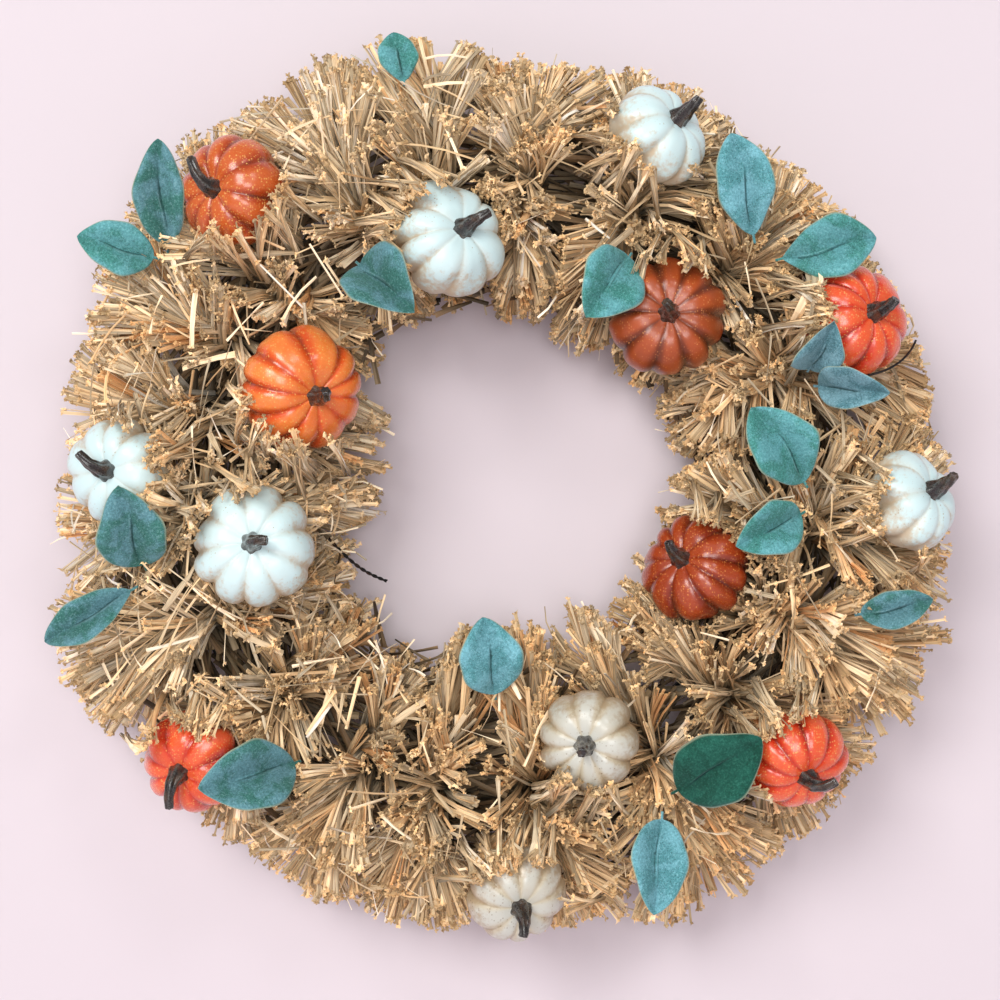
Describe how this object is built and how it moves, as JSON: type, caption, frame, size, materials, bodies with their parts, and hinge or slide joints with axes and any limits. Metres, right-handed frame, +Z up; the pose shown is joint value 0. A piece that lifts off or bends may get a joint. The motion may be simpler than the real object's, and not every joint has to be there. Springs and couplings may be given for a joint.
{
  "type": "harvest door wreath",
  "caption": "Round door wreath of straw tufts tied on a welded wire ring, with small ribbed pumpkins, wired fabric leaves and a wire hanger loop.",
  "frame": {"origin": "the hang point: the inside of the hanger loop's top, where the hook on the door bears; the wreath's centre is 252 mm below it", "axes": "+Z up as it hangs, -Y out of the wreath's front, +Y towards the door, +X to the right as seen from the front"},
  "size_m": [0.57, 0.1357, 0.57],
  "materials": {
    "straw": "dry matt straw-coloured raffia, cut ends frayed and paler",
    "ring_wire": "black lacquered steel wire",
    "pumpkin_orange": "painted foam, satin, darker in the grooves, fine golden specks",
    "pumpkin_white": "painted foam, satin off-white with brown dusting",
    "pumpkin_stem": "dark brown, ridged, slightly glossy",
    "leaf_fabric": "flocked fabric, dusty blue-green, mottled"
  },
  "bodies": {
    "wreath": {"wire_frame": "ring_wire", "raffia_tuft_01": "straw", "raffia_tuft_02": "straw", "raffia_tuft_03": "straw", "raffia_tuft_04": "straw", "raffia_tuft_05": "straw", "raffia_tuft_06": "straw", "raffia_tuft_07": "straw", "raffia_tuft_08": "straw", "raffia_tuft_09": "straw", "raffia_tuft_10": "straw", "raffia_tuft_11": "straw", "raffia_tuft_12": "straw", "pumpkin_orange_1": "pumpkin_orange", "pumpkin_orange_2": "pumpkin_orange", "pumpkin_orange_3": "pumpkin_orange", "pumpkin_orange_4": "pumpkin_orange", "pumpkin_orange_5": "pumpkin_orange", "pumpkin_orange_6": "pumpkin_orange", "pumpkin_orange_7": "pumpkin_orange", "pumpkin_white_1": "pumpkin_white", "pumpkin_white_2": "pumpkin_white", "pumpkin_white_3": "pumpkin_white", "pumpkin_white_4": "pumpkin_white", "pumpkin_white_5": "pumpkin_white", "pumpkin_white_6": "pumpkin_white", "pumpkin_white_7": "pumpkin_white", "pumpkin_orange_1_stem": "pumpkin_stem", "pumpkin_orange_2_stem": "pumpkin_stem", "pumpkin_orange_3_stem": "pumpkin_stem", "pumpkin_orange_4_stem": "pumpkin_stem", "pumpkin_orange_5_stem": "pumpkin_stem", "pumpkin_orange_6_stem": "pumpkin_stem", "pumpkin_orange_7_stem": "pumpkin_stem", "pumpkin_white_1_stem": "pumpkin_stem", "pumpkin_white_2_stem": "pumpkin_stem", "pumpkin_white_3_stem": "pumpkin_stem", "pumpkin_white_4_stem": "pumpkin_stem", "pumpkin_white_5_stem": "pumpkin_stem", "pumpkin_white_6_stem": "pumpkin_stem", "pumpkin_white_7_stem": "pumpkin_stem"},
    "hanger": {"hanger_loop": "ring_wire"},
    "leaf_pick_01": {"leaf_01": "leaf_fabric", "leaf_02": "leaf_fabric"},
    "leaf_pick_02": {"leaf_03": "leaf_fabric"},
    "leaf_pick_03": {"leaf_04": "leaf_fabric"},
    "leaf_pick_04": {"leaf_05": "leaf_fabric"},
    "leaf_pick_05": {"leaf_06": "leaf_fabric", "leaf_07": "leaf_fabric"},
    "leaf_pick_06": {"leaf_08": "leaf_fabric", "leaf_09": "leaf_fabric"},
    "leaf_pick_07": {"leaf_10": "leaf_fabric", "leaf_11": "leaf_fabric"},
    "leaf_pick_08": {"leaf_12": "leaf_fabric"},
    "leaf_pick_09": {"leaf_13": "leaf_fabric", "leaf_14": "leaf_fabric"},
    "leaf_pick_10": {"leaf_15": "leaf_fabric"},
    "leaf_pick_11": {"leaf_16": "leaf_fabric"},
    "leaf_pick_12": {"leaf_17": "leaf_fabric", "leaf_18": "leaf_fabric"}
  },
  "joints": [
    {"name": "hanger_swing", "type": "hinge", "parent": "wreath", "child": "hanger", "pos_m": [0, 0, -0.036], "axis": [-1, 0, 0], "range_deg": [0, 100]},
    {"name": "leaf_pick_01_bend", "type": "hinge", "parent": "wreath", "child": "leaf_pick_01", "pos_m": [-0.20933, -0.06193, -0.11081], "axis": [0.7716, 0, 0.6361], "range_deg": [0, 30]},
    {"name": "leaf_pick_02_bend", "type": "hinge", "parent": "wreath", "child": "leaf_pick_02", "pos_m": [-0.06217, -0.0593, -0.00263], "axis": [0.9744, 0, 0.225], "range_deg": [0, 30]},
    {"name": "leaf_pick_03_bend", "type": "hinge", "parent": "wreath", "child": "leaf_pick_03", "pos_m": [-0.09028, -0.08551, -0.11508], "axis": [-0.6691, 0, -0.7431], "range_deg": [0, 30]},
    {"name": "leaf_pick_04_bend", "type": "hinge", "parent": "wreath", "child": "leaf_pick_04", "pos_m": [0.07705, -0.08274, -0.1095], "axis": [-0.8191, 0, 0.5736], "range_deg": [0, 30]},
    {"name": "leaf_pick_05_bend", "type": "hinge", "parent": "wreath", "child": "leaf_pick_05", "pos_m": [0.15712, -0.08174, -0.11054], "axis": [0.8434, 0, -0.5373], "range_deg": [0, 30]},
    {"name": "leaf_pick_06_bend", "type": "hinge", "parent": "wreath", "child": "leaf_pick_06", "pos_m": [0.18285, -0.08689, -0.18725], "axis": [0.5, 0, -0.866], "range_deg": [0, 30]},
    {"name": "leaf_pick_07_bend", "type": "hinge", "parent": "wreath", "child": "leaf_pick_07", "pos_m": [0.18574, -0.08483, -0.26011], "axis": [0.2419, 0, 0.9703], "range_deg": [0, 30]},
    {"name": "leaf_pick_08_bend", "type": "hinge", "parent": "wreath", "child": "leaf_pick_08", "pos_m": [0.21331, -0.07917, -0.32964], "axis": [0.2079, 0, -0.9781], "range_deg": [0, 30]},
    {"name": "leaf_pick_09_bend", "type": "hinge", "parent": "wreath", "child": "leaf_pick_09", "pos_m": [-0.21995, -0.0764, -0.30808], "axis": [0.3907, 0, 0.9205], "range_deg": [0, 30]},
    {"name": "leaf_pick_10_bend", "type": "hinge", "parent": "wreath", "child": "leaf_pick_10", "pos_m": [-0.1246, -0.08128, -0.41855], "axis": [-0.2079, 0, 0.9781], "range_deg": [0, 30]},
    {"name": "leaf_pick_11_bend", "type": "hinge", "parent": "wreath", "child": "leaf_pick_11", "pos_m": [-0.00571, -0.0623, -0.38288], "axis": [0.9903, 0, 0.1392], "range_deg": [0, 30]},
    {"name": "leaf_pick_12_bend", "type": "hinge", "parent": "wreath", "child": "leaf_pick_12", "pos_m": [0.09713, -0.08362, -0.44267], "axis": [-0.5075, 0, -0.8616], "range_deg": [0, 30]}
  ]
}
